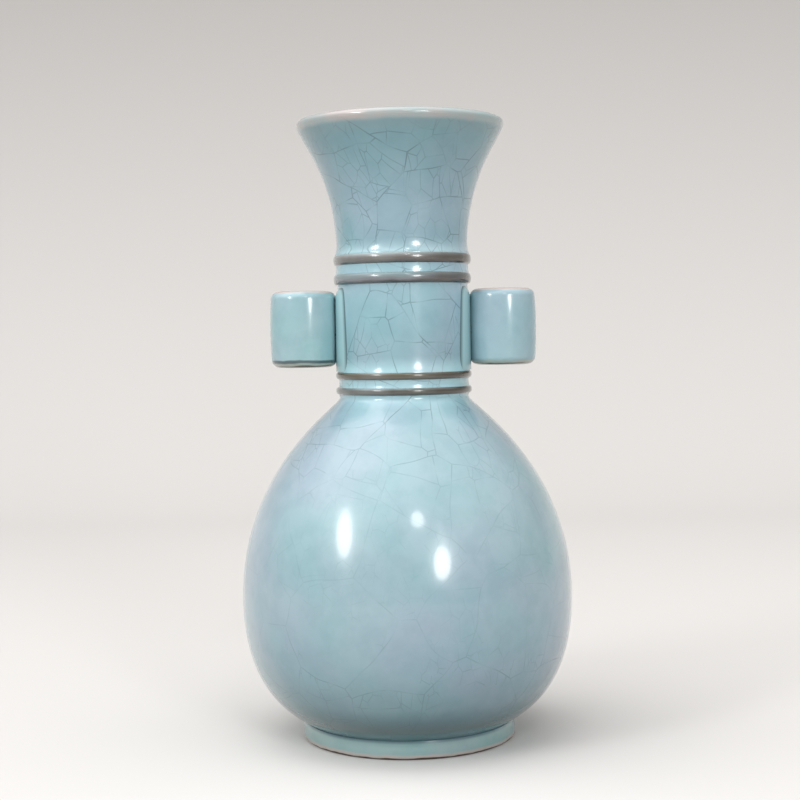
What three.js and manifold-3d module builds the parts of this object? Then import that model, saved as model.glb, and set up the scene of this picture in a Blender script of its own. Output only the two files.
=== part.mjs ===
// Celadon vase with a trumpet mouth, two pairs of bow-string ridges, two tubular lugs and a foot ring.
// The clay sections are thrown or rolled one by one and luted together with slip before glazing.
// Millimetres, +Z up. The origin is the centre of the circle that the foot ring stands on,
// and the two lugs lie on the X axis.

import * as THREE from "three";
import { mergeVertices } from "three/addons/utils/BufferGeometryUtils.js";
import Module from "manifold-3d";

// Foot ring
const footRingHeight = 7;
const footRingRadius = 41.5;
const footRingWall = 6.5;
const footRingDraft = 0.6;
const footRingEdge = 1.2;

// Base: the floor of the vase and the first turn of its wall, on the foot ring
const baseSectionHeight = 15;
const baseRadius = 40.6;
const baseThickness = 6;
const baseLift = 4;
const baseAngle = 42;
const floorRadius = 20;
const floorSpread = 24;

// Lower body, up to its widest circle
const lowerBodyHeight = 33;
const bodyRadius = 64.4;
const bodyWall = 5.5;
const bellyDrop = 38.3;
const innerBellyDrop = 33;

// Upper body, from the widest circle up to the shoulder
const upperBodyHeight = 40;
const bellyRise = 47.4;

// Shoulder, up to the joint under the lowest ridge
const shoulderHeight = 40.5;
const shoulderAngle = 47;
const shoulderEase = 7.4;
const coveRadius = 3;

// Neck
const neckLength = 50.55;
const neckRadius = 25.2;
const neckWall = 4;

// Trumpet mouth, and the lip section that widens to its rounded edge
const mouthHeight = 37.95;
const mouthRise = 31.6;
const lipHeight = 16;
const lipRadius = 40.2;
const lipThickness = 3.8;
const lipAngle = 71;
const lipEase = 8.4;

// Bow-string ridges: one of each pair lies over a joint of the neck
const upperRidgeHeight = 4.2;
const upperRidgeDepth = 1.6;
const upperRidgePitch = 7.5;
const lowerRidgeHeight = 2.8;
const lowerRidgeDepth = 1.3;
const lowerRidgePitch = 5.9;
const ridgeCollar = 0.5;

// Tubular lugs, open at both ends, and the clay saddles that hold them to the neck
const lugLength = 29.6;
const lugRadius = 13.2;
const lugBarrel = 0.4;
const lugWall = 4.2;
const lugRimRound = 3.2;
const lugBoreRound = 0.8;
const lugSeatDepth = 0.7;
const saddleThickness = 1.05;
const saddleFaceHalf = 4.6;
const saddleSpread = 12;
const saddleCrown = 1.5;

// Layer of slip between a curved or cut piece and its neighbour
const slipGap = 0.3;

// Facets: how finely round forms are divided
const turnSegments = 52;
const lugSegments = 28;
const outerWallSteps = 5;
const innerWallSteps = 4;
const coveSteps = 3;
const lipSteps = 3;
const ridgeSteps = 4;
const rimSteps = 3;
const boreEdgeSteps = 2;
const barrelSteps = 3;
const edgeSteps = 2;
const saddleSteps = 4;
const halvings = 40;

// Heights of the joints, worked out from the lengths
const baseFootHeight = footRingHeight;
const baseTopHeight = baseFootHeight + baseSectionHeight;
const bellyHeight = baseTopHeight + lowerBodyHeight;
const shoulderFootHeight = bellyHeight + upperBodyHeight;
const neckFootHeight = shoulderFootHeight + shoulderHeight;
const neckTopHeight = neckFootHeight + neckLength;
const lipFootHeight = neckTopHeight + mouthHeight;
const lipTopHeight = lipFootHeight + lipHeight;
const boreRadius = neckRadius - neckWall;

// The neck panel between the two pairs of ridges, where the lugs are luted
const panelBottom = neckFootHeight + lowerRidgePitch + lowerRidgeHeight / 2;
const panelTop = neckTopHeight - upperRidgePitch - upperRidgeHeight / 2;
const panelMiddle = (panelBottom + panelTop) / 2;
const saddleFace = neckRadius + saddleThickness;
const lugCentre = saddleFace + lugRadius - lugSeatDepth;

const wasm = await Module();
wasm.setup();

// Colours of the fired pieces
const glazeColour = 0xa6c4cb;
const poolColour = 0x9dbec6;
const ridgeColour = 0x8b7d6b;
const footColour = 0x8f9f9b;

function glaze(colour, roughness = 0.16) {
  return new THREE.MeshStandardMaterial({ color: colour, roughness, metalness: 0 });
}

function point(radius, height) {
  return new THREE.Vector2(radius, height);
}

// A point at a distance from another, in the direction of an angle in degrees from the outward radius.
function towards(from, distance, degrees) {
  const angle = THREE.MathUtils.degToRad(degrees);
  return point(from.x + distance * Math.cos(angle), from.y + distance * Math.sin(angle));
}

// Points on a circular arc from one angle to another, in degrees.
function arc(centre, radius, fromDegrees, toDegrees, steps) {
  const points = [];
  for (let i = 0; i <= steps; i += 1) {
    points.push(towards(centre, radius, fromDegrees + ((toDegrees - fromDegrees) * i) / steps));
  }
  return points;
}

// The path of a curve.
function along(curve) {
  return (t) => curve.getPoint(t);
}

// The path beside a curve, on its inner side, as far from it as the wall is thick there.
function inside(curve, wallStart, wallEnd) {
  return (t) => {
    const wall = THREE.MathUtils.lerp(wallStart, wallEnd, t);
    const direction = curve.getTangent(t);
    const on = curve.getPoint(t);
    return point(on.x - wall * direction.y, on.y + wall * direction.x);
  };
}

// How far along a rising path it passes a height.
function reach(path, height) {
  let low = 0;
  let high = 1;
  for (let i = 0; i < halvings; i += 1) {
    const middle = (low + high) / 2;
    if (path(middle).y < height) {
      low = middle;
    } else {
      high = middle;
    }
  }
  return low;
}

// Points on a rising path from one height to another. Both ends lie exactly at their heights.
function between(path, bottom, top, steps) {
  const from = reach(path, bottom);
  const to = reach(path, top);
  const points = [];
  for (let i = 0; i <= steps; i += 1) {
    points.push(path(THREE.MathUtils.lerp(from, to, i / steps)));
  }
  points[0].y = bottom;
  points[steps].y = top;
  return points;
}

// Turns a profile of (radius, height) points, up the outside and down the inside, about the Z axis.
function turn(profile, segments) {
  const outline = profile[0].x === 0 ? profile : [...profile, profile[0]];
  return new THREE.LatheGeometry(outline, segments).rotateX(Math.PI / 2);
}

function toSolid(geometry) {
  const bare = new THREE.BufferGeometry();
  bare.setAttribute("position", geometry.getAttribute("position"));
  bare.setIndex(geometry.index);
  const merged = mergeVertices(bare, 1e-3);
  const mesh = new wasm.Mesh({
    numProp: 3,
    vertProperties: new Float32Array(merged.getAttribute("position").array),
    triVerts: new Uint32Array(merged.index.array),
  });
  return new wasm.Manifold(mesh);
}

function toGeometry(solid) {
  const mesh = solid.getMesh();
  const geometry = new THREE.BufferGeometry();
  geometry.setAttribute("position", new THREE.BufferAttribute(mesh.vertProperties, 3));
  geometry.setIndex(new THREE.BufferAttribute(mesh.triVerts, 1));
  geometry.computeVertexNormals();
  return geometry;
}

function addPiece(group, name, geometry, material) {
  const mesh = new THREE.Mesh(geometry, material);
  mesh.name = name;
  group.add(mesh);
  return mesh;
}

// Foot ring: a plain ring under the base, a little wider at half height, with rounded standing edges.
function footRing() {
  const outer = footRingRadius;
  const inner = footRingRadius - footRingWall;
  const edge = footRingEdge;
  const profile = [
    ...arc(point(outer - edge, edge), edge, -90, 0, edgeSteps),
    point(outer - footRingDraft, footRingHeight),
    point(inner + footRingDraft, footRingHeight),
    ...arc(point(inner + edge, edge), edge, 180, 270, edgeSteps),
  ];
  return turn(profile, turnSegments);
}

// Outside of the base and the lower body, from the foot ring up to the widest circle.
function lowerOutside() {
  const start = point(baseRadius, baseFootHeight);
  return new THREE.CubicBezierCurve(
    start,
    towards(start, baseLift, baseAngle),
    point(bodyRadius, bellyHeight - bellyDrop),
    point(bodyRadius, bellyHeight),
  );
}

// Inside of the base and the lower body, from the flat of the floor up to the widest circle.
function lowerInside() {
  const floorHeight = baseFootHeight + baseThickness;
  const innerRadius = bodyRadius - bodyWall;
  return new THREE.CubicBezierCurve(
    point(floorRadius, floorHeight),
    point(floorRadius + floorSpread, floorHeight),
    point(innerRadius, bellyHeight - innerBellyDrop),
    point(innerRadius, bellyHeight),
  );
}

// Base: a shallow bowl with a flat floor.
function base() {
  const floorHeight = baseFootHeight + baseThickness;
  const wall = between(along(lowerInside()), floorHeight, baseTopHeight, innerWallSteps);
  const profile = [
    point(0, baseFootHeight),
    ...between(along(lowerOutside()), baseFootHeight, baseTopHeight, outerWallSteps),
    ...wall.reverse(),
    point(0, floorHeight),
  ];
  return turn(profile, turnSegments);
}

// Lower body: the steep part of the bowl, up to the widest circle.
function lowerBody() {
  const wall = between(along(lowerInside()), baseTopHeight, bellyHeight, innerWallSteps);
  const profile = [
    ...between(along(lowerOutside()), baseTopHeight, bellyHeight, outerWallSteps),
    ...wall.reverse(),
  ];
  return turn(profile, turnSegments);
}

// The small cove that draws the shoulder in to a short collar of the neck's width.
function shoulderCove() {
  const collar = lowerRidgeHeight / 2 + ridgeCollar;
  const centre = point(neckRadius + coveRadius, neckFootHeight - collar);
  return arc(centre, coveRadius, 180 + 90 - shoulderAngle, 180, coveSteps);
}

// Outside of the upper body and the shoulder, from the widest circle up to the cove.
function upperOutside() {
  const coveStart = shoulderCove()[0];
  return new THREE.CubicBezierCurve(
    point(bodyRadius, bellyHeight),
    point(bodyRadius, bellyHeight + bellyRise),
    towards(coveStart, shoulderEase, -shoulderAngle),
    coveStart,
  );
}

// Upper body: draws in slowly above the widest circle.
function upperBody() {
  const outside = upperOutside();
  const wall = inside(outside, bodyWall, bodyWall);
  const profile = [
    ...between(along(outside), bellyHeight, shoulderFootHeight, outerWallSteps),
    ...between(wall, bellyHeight, shoulderFootHeight, innerWallSteps).reverse(),
  ];
  return turn(profile, turnSegments);
}

// Shoulder: a sloping cone-like form that ends in the cove and the collar.
function shoulder() {
  const outside = upperOutside();
  const wall = inside(outside, bodyWall, bodyWall);
  const cove = shoulderCove();
  const profile = [
    ...between(along(outside), shoulderFootHeight, cove[0].y, outerWallSteps),
    ...cove.slice(1),
    point(neckRadius, neckFootHeight),
    point(boreRadius, neckFootHeight),
    ...wallDownFromBore(between(wall, shoulderFootHeight, wall(1).y, innerWallSteps)),
  ];
  return turn(profile, turnSegments);
}

// The shoulder's inner wall from the foot of the bore down: the part that is wider than the bore.
function wallDownFromBore(wall) {
  const wide = wall.filter((p) => p.x > boreRadius + slipGap);
  const top = wide[wide.length - 1];
  const before = wide[wide.length - 2];
  const slope = (top.y - before.y) / (before.x - top.x);
  const corner = point(boreRadius, top.y + slope * (top.x - boreRadius));
  return [corner, ...wide.reverse()];
}

// Neck: a plain thrown tube.
function neck() {
  const profile = [
    point(neckRadius, neckFootHeight),
    point(neckRadius, neckTopHeight),
    point(boreRadius, neckTopHeight),
    point(boreRadius, neckFootHeight),
  ];
  return turn(profile, turnSegments);
}

// The rounded edge of the lip, over its top from the outside to the inside. One point is its highest.
function lipEdge() {
  const round = lipThickness / 2;
  const centre = point(lipRadius - round, lipTopHeight - round);
  return [
    ...arc(centre, round, lipAngle - 90, 90, lipSteps),
    ...arc(centre, round, 90, lipAngle + 90, lipSteps).slice(1),
  ];
}

// Outside of the mouth and the lip, from the neck up to the rounded edge.
function mouthOutside() {
  const edgeStart = lipEdge()[0];
  return new THREE.CubicBezierCurve(
    point(neckRadius, neckTopHeight),
    point(neckRadius, neckTopHeight + mouthRise),
    towards(edgeStart, -lipEase, lipAngle),
    edgeStart,
  );
}

// Mouth: the trumpet, with a wall that thins towards the lip.
function mouth() {
  const outside = mouthOutside();
  const wall = inside(outside, neckWall, lipThickness);
  const profile = [
    ...between(along(outside), neckTopHeight, lipFootHeight, outerWallSteps),
    ...between(wall, neckTopHeight, lipFootHeight, innerWallSteps).reverse(),
  ];
  return turn(profile, turnSegments);
}

// Lip: the widest part of the trumpet, with a half-round edge.
function lip() {
  const outside = mouthOutside();
  const wall = inside(outside, neckWall, lipThickness);
  const edge = lipEdge();
  const profile = [
    ...between(along(outside), lipFootHeight, edge[0].y, outerWallSteps),
    ...edge.slice(1, -1),
    ...between(wall, lipFootHeight, wall(1).y, innerWallSteps).reverse(),
  ];
  return turn(profile, turnSegments);
}

// Bow-string ridge: a string of clay with a half-oval section, laid round the neck.
function ridge(middle, height, depth) {
  const seat = neckRadius + slipGap;
  const string = new THREE.EllipseCurve(
    seat,
    middle,
    depth - slipGap,
    height / 2,
    -Math.PI / 2,
    Math.PI / 2,
  );
  return turn(string.getPoints(ridgeSteps), turnSegments);
}

// Lug: a short open tube with a slight barrel and rounded rims, cut flat where it seats on its saddle.
function lug() {
  const half = lugLength / 2;
  const rimRadius = lugRadius - lugBarrel;
  const rimCentre = rimRadius - lugRimRound;
  const bore = lugRadius - lugWall;
  const boreEdge = bore + lugBoreRound;
  const barrel = new THREE.QuadraticBezierCurve(
    point(rimRadius, lugRimRound - half),
    point(lugRadius + lugBarrel, 0),
    point(rimRadius, half - lugRimRound),
  );
  const profile = [
    ...arc(point(rimCentre, lugRimRound - half), lugRimRound, -90, 0, rimSteps).slice(0, -1),
    ...barrel.getPoints(barrelSteps),
    ...arc(point(rimCentre, half - lugRimRound), lugRimRound, 0, 90, rimSteps).slice(1),
    ...arc(point(boreEdge, half - lugBoreRound), lugBoreRound, 90, 180, boreEdgeSteps),
    ...arc(point(boreEdge, lugBoreRound - half), lugBoreRound, 180, 270, boreEdgeSteps),
  ];
  const tube = turn(profile, lugSegments).translate(lugCentre, 0, panelMiddle);
  const seatSide = new THREE.BoxGeometry(2 * lugRadius, 3 * lugRadius, 2 * lugLength);
  seatSide.translate(saddleFace + slipGap - lugRadius, 0, panelMiddle);
  return toGeometry(toSolid(tube).subtract(toSolid(seatSide)));
}

// Saddle: a strip of clay up the whole neck panel, round on the neck's side and flat on the lug's side.
function saddle() {
  const neckSide = Math.sqrt(neckRadius ** 2 - saddleSpread ** 2);
  const sunk = (neckRadius - neckWall) / neckRadius;
  const middleX = (saddleFace + neckSide) / 2 + saddleCrown;
  const middleY = (saddleFaceHalf + saddleSpread) / 2 + saddleCrown;
  const outline = new THREE.Shape();
  outline.moveTo(saddleFace, -saddleFaceHalf);
  outline.lineTo(saddleFace, saddleFaceHalf);
  outline.quadraticCurveTo(middleX, middleY, neckSide, saddleSpread);
  outline.lineTo(neckSide * sunk, saddleSpread * sunk);
  outline.lineTo(neckSide * sunk, -saddleSpread * sunk);
  outline.lineTo(neckSide, -saddleSpread);
  outline.quadraticCurveTo(middleX, -middleY, saddleFace, -saddleFaceHalf);
  const height = panelTop - panelBottom - 2 * slipGap;
  const strip = new THREE.ExtrudeGeometry(outline, {
    depth: height,
    bevelEnabled: false,
    curveSegments: saddleSteps,
  });
  strip.translate(0, 0, panelBottom + slipGap);
  const seat = neckRadius + slipGap;
  const neckRound = turn(
    [
      point(0, neckFootHeight),
      point(seat, neckFootHeight),
      point(seat, neckTopHeight),
      point(0, neckTopHeight),
    ],
    turnSegments,
  );
  return toGeometry(toSolid(strip).subtract(toSolid(neckRound)));
}

function lugWithSaddle(side) {
  const group = new THREE.Group();
  addPiece(group, side + "_lug", lug(), glaze(glazeColour));
  addPiece(group, side + "_lug_saddle", saddle(), glaze(poolColour));
  return group;
}

function vase() {
  const group = new THREE.Group();
  addPiece(group, "foot_ring", footRing(), glaze(footColour, 0.3));
  addPiece(group, "base", base(), glaze(glazeColour));
  addPiece(group, "lower_body", lowerBody(), glaze(glazeColour));
  addPiece(group, "upper_body", upperBody(), glaze(glazeColour));
  addPiece(group, "shoulder", shoulder(), glaze(glazeColour));
  addPiece(group, "neck", neck(), glaze(glazeColour));
  addPiece(group, "mouth", mouth(), glaze(glazeColour));
  addPiece(group, "lip", lip(), glaze(glazeColour));

  const strings = [
    ["upper_ridge_1", neckTopHeight, upperRidgeHeight, upperRidgeDepth],
    ["upper_ridge_2", neckTopHeight - upperRidgePitch, upperRidgeHeight, upperRidgeDepth],
    ["lower_ridge_1", neckFootHeight + lowerRidgePitch, lowerRidgeHeight, lowerRidgeDepth],
    ["lower_ridge_2", neckFootHeight, lowerRidgeHeight, lowerRidgeDepth],
  ];
  for (const [name, middle, height, depth] of strings) {
    addPiece(group, name, ridge(middle, height, depth), glaze(ridgeColour, 0.3));
  }

  group.add(lugWithSaddle("right"));
  const left = lugWithSaddle("left");
  left.rotation.z = Math.PI;
  group.add(left);
  return group;
}

export default vase();
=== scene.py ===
import math

import bpy
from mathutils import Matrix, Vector


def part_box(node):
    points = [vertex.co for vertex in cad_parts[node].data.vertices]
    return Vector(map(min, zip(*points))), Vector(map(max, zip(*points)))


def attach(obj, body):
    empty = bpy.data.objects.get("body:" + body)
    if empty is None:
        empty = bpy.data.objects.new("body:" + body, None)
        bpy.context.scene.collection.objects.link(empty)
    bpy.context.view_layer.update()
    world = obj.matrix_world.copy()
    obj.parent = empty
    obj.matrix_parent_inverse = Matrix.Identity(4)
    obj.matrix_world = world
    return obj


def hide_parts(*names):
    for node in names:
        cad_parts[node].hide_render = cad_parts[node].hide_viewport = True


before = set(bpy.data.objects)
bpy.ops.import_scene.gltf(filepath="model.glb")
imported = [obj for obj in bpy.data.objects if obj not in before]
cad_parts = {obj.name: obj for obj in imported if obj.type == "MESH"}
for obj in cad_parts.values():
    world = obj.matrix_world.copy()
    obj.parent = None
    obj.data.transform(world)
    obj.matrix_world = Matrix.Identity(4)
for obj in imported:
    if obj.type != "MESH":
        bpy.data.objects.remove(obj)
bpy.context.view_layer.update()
print("frame loaded with", len(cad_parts), "nodes")

mm = 0.001      # lengths are written in millimetres, apart from those of the stage, lamps and camera


def srgb(code):
    # hex sRGB colour to linear RGBA
    parts = [int(code[i:i + 2], 16) / 255 for i in (1, 3, 5)]
    return [p / 12.92 if p <= 0.04045 else ((p + 0.055) / 1.055) ** 2.4 for p in parts] + [1.0]


def addNode(tree, kind, inputs=None, **settings):
    # a node given as a value is linked by its first live output; a mix node's two colours are 6 and 7
    node = tree.nodes.new(kind)
    for name, value in settings.items():
        setattr(node, name, value)
    for socket, value in (inputs or {}).items():
        if isinstance(value, bpy.types.Node):
            value = next(s for s in value.outputs if s.enabled)
        if isinstance(value, bpy.types.NodeSocket):
            tree.links.new(value, node.inputs[socket])
        else:
            node.inputs[socket].default_value = value
    return node


def objectMode():
    bpy.ops.object.mode_set(mode="OBJECT")


def pick(piece):
    # the piece alone is selected and active
    objectMode()
    bpy.ops.object.select_all(action="DESELECT")
    piece.select_set(True)
    bpy.context.view_layer.objects.active = piece


def editMode(piece):
    pick(piece)
    bpy.ops.object.mode_set(mode="EDIT")
    bpy.ops.mesh.select_all(action="SELECT")


def selectWhere(piece, test):
    # selects the vertices that pass a test of their place in mm, in edit mode
    objectMode()
    for face in piece.data.polygons:
        face.select = False
    for edge in piece.data.edges:
        edge.select = False
    for vertex in piece.data.vertices:
        vertex.select = bool(test(*(c / mm for c in vertex.co)))
    bpy.ops.object.mode_set(mode="EDIT")
    bpy.ops.mesh.select_mode(type="VERT")


def span(node):
    # the lowest and highest point of a CAD node
    low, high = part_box(node)
    return low.z / mm, high.z / mm


# how curves are measured and divided, and how outlines are turned and welded; the angle is in degrees
turning = {"halvings": 40, "nudge": 1e-4, "endStep": 0.004, "steps": 192, "smoothAngle": 38, "merge": 0.004}


# points on a curve are (radius, height)
def bezier(a, b, c, d):
    def at(t):
        u = 1 - t
        return tuple(u ** 3 * p + 3 * u * u * t * q + 3 * u * t * t * r + t ** 3 * s
                     for p, q, r, s in zip(a, b, c, d))
    return at


def towards(start, distance, degrees):
    angle = math.radians(degrees)
    return start[0] + distance * math.cos(angle), start[1] + distance * math.sin(angle)


def arc(centre, radius, first, last, steps):
    return [towards(centre, radius, first + (last - first) * i / steps) for i in range(steps + 1)]


def insideOf(path, wallStart, wallEnd):
    # the inner wall beside an outer curve
    def at(t):
        t0, t1 = max(t - turning["nudge"], 0), min(t + turning["nudge"], 1)
        (x0, y0), (x1, y1) = path(t0), path(t1)
        length = math.hypot(x1 - x0, y1 - y0)
        wall = wallStart + (wallEnd - wallStart) * t
        x, y = path(t)
        return x - wall * (y1 - y0) / length, y + wall * (x1 - x0) / length
    return at


def reach(path, height):
    # how far along a rising path it passes a height
    low, high = 0.0, 1.0
    for _ in range(turning["halvings"]):
        middle = (low + high) / 2
        if path(middle)[1] < height:
            low = middle
        else:
            high = middle
    return low


def climb(path, bottom, top, steps):
    # points up a path, with a short step at both ends so that the shading runs on over a joint
    start, stop = reach(path, bottom), reach(path, top)
    share = [0, turning["endStep"]] + [i / steps for i in range(1, steps)] + [1 - turning["endStep"], 1]
    points = [path(start + (stop - start) * s) for s in share]
    points[0] = (points[0][0], bottom)
    points[-1] = (points[-1][0], top)
    return points


def startPoint():
    # a small plane drawn together to one vertex at the origin, in edit mode
    bpy.ops.mesh.primitive_plane_add(size=0.01, location=(0, 0, 0))
    if bpy.context.object.mode == "OBJECT":
        editMode(bpy.context.object)
    bpy.ops.mesh.merge(type="CENTER")


def startPiece(name):
    bpy.ops.object.select_all(action="DESELECT")
    startPoint()
    piece = bpy.context.object
    piece.name = piece.data.name = name
    return piece


def trace(points):
    # the selected vertex at the origin is taken to the first point and extruded from point to point
    bpy.ops.transform.translate(value=[c * mm for c in points[0]])
    for here, there in zip(points, points[1:]):
        step = [(b - a) * mm for a, b in zip(here, there)]
        bpy.ops.mesh.extrude_vertices_move(TRANSFORM_OT_translate={"value": step})


def weld():
    bpy.ops.mesh.select_all(action="SELECT")
    bpy.ops.mesh.remove_doubles(threshold=turning["merge"] * mm)


def turn(name, outline, centreX=0.0):
    # the outline is spun about an upright axis
    piece = startPiece(name)
    onAxis = outline[0][0] == 0 and outline[-1][0] == 0
    path = outline if onAxis else outline + [outline[0]]
    trace([(centreX + r, 0, z) for r, z in path])
    weld()
    bpy.ops.mesh.spin(steps=turning["steps"], angle=2 * math.pi,
                      center=(centreX * mm, 0, 0), axis=(0, 0, 1))
    weld()
    bpy.ops.mesh.normals_make_consistent(inside=False)
    objectMode()
    return piece


def dress(piece, node, material):
    pick(piece)
    bpy.ops.object.shade_smooth_by_angle(angle=math.radians(turning["smoothAngle"]))
    piece.data.materials.clear()
    piece.data.materials.append(material)
    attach(piece, "root")
    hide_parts(node)


# crackled celadon on stoneware: a thick, faintly milky glass that was dipped and fired, so the colour
# is soft and deep, the lamps show in it as small bright windows, and fine cracks net the neck
glaze = {
    # height, and the colour of the glaze there; some stops hold painted shade and painted light
    "tones": (
        (6, "#9cbfbd"),                         # greener on the foot ring
        (7.6, "#7da8b0"), (12.6, "#4e7d87"), (17.5, "#6f9ca7"),     # painted shade in the crease over it
        (22, "#8eb4bf"), (36, "#a0bfcb"), (82, "#aac5ce"), (120, "#a2bec7"),    # body
        (129, "#a4c5ce"), (134, "#bee6ee"),     # pooled glaze, paler, and brighter still as painted light where it faces up, under the lower ridges
        (144.5, "#bce2e9"), (148.5, "#9fc1cb"),     # and on top of them, also brightened as painted light
        (165, "#a4cad6"),                       # the panel between the lugs
        (183, "#b3d7e2"), (189.5, "#bcdbe3"),   # pooled pale by the upper ridges
        (193, "#a0c4ce"), (216, "#9ac0cb"), (229, "#8bb6c1")),  # mouth, darker towards the lip as painted shade under the flare
    # slow drifts of tint over the tone: size, detail and roughness of the noise, where in the noise
    # the tint begins and is full, and the tint, which is multiplied
    "drifts": (
        (60, 1, 0.5, 0.40, 0.62, "#fff8fe"),    # lavender
        (24, 2, 0.5, 0.42, 0.66, "#f2fffc"),    # teal
        (9, 3, 0.6, 0.40, 0.62, "#f4f7f8")),    # a faint cloudiness
    "crack": "#4a6873",
    "roughness": 0.24, "coat": 0.8, "coatRoughness": 0.09, "ior": 1.5,
    "wave": 22, "waveDepth": 0.22,              # the slow unevenness of the dipped surface
    "crackDepth": 0.03, "crackBump": 0.35,
    "ripple": 6.25, "rippleEdges": (0.3, 0.7),  # how the edges of the glaze wobble
    # height, half the width of its edge, colour and strength of the painted shade under the lip band
    "lipShade": (232.6, 2.2, "#8aa3a8", 0.45),
    "lipBand": 236.0, "lipFade": 1.0, "lipCover": 0.92, "lipWobble": 0.2,
    "rim": "#b0c2c2", "blush": "#c9bfbc", "blushSize": 26, "blushEdges": (0.46, 0.62),
}

# three generations of cracks, each ending on the one before
cracks = {
    "cells": (30.0, 13.5, 5.2),
    "widths": (0.36, 0.32, 0.26),               # drawn as wide as they need to show
    "weights": (1.0, 0.85, 0.7),
    "softness": 0.6,                            # share of the width that is a soft edge
    "scatter": (0.9, 0.66),                     # how irregular the first and second cells are
    "chartShift": 700, "plotShift": 500,        # so that no two cells are cracked alike
    "plotStretch": (1.25, 0.7, 0),              # small cells are taller than wide
    "leastSlant": 0.1,                          # keeps a wall that lies along the surface narrow
    "bend": 24, "bendDepth": 6.0,
    "start": (12, 40, -8),                      # moves the whole net
    "gap": 8, "gapEdges": (0.38, 0.6), "gapShow": 0.2,      # a crack opens and closes along its length
    "patch": 42, "patchEdges": (0.42, 0.62),    # size of a patch that is more or less crazed
    # share of the large cells that have second cracks, below and above these heights
    "secondHeights": (90, 118), "secondShares": (0.45, 0.9),
    # share of the second cells that have third cracks, outside the patches and in them
    "thirdShares": (0.06, 0.62),
    # how much the cracks show at each height: little on the body, more at its foot and on its shoulder
    "show": ((0, 0.38), (34, 0.36), (52, 0.15), (98, 0.15), (116, 0.42), (137, 0.55), (212, 0.57),
             (228, 0.64), (240, 0.45)),
}


def addRamp(tree, height, stops):
    # a value or colour that changes with the height, through the given stops
    low, high = stops[0][0], stops[-1][0]
    share = addNode(tree, "ShaderNodeMapRange",
                    {"Value": height, "From Min": low * mm, "From Max": high * mm})
    ramp = addNode(tree, "ShaderNodeValToRGB", {"Fac": share})
    while len(ramp.color_ramp.elements) < len(stops):
        ramp.color_ramp.elements.new(0.5)
    for element, (place, look) in zip(ramp.color_ramp.elements, stops):
        element.position = (place - low) / (high - low)
        element.color = srgb(look) if isinstance(look, str) else (look, look, look, 1)
    return ramp


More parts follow.
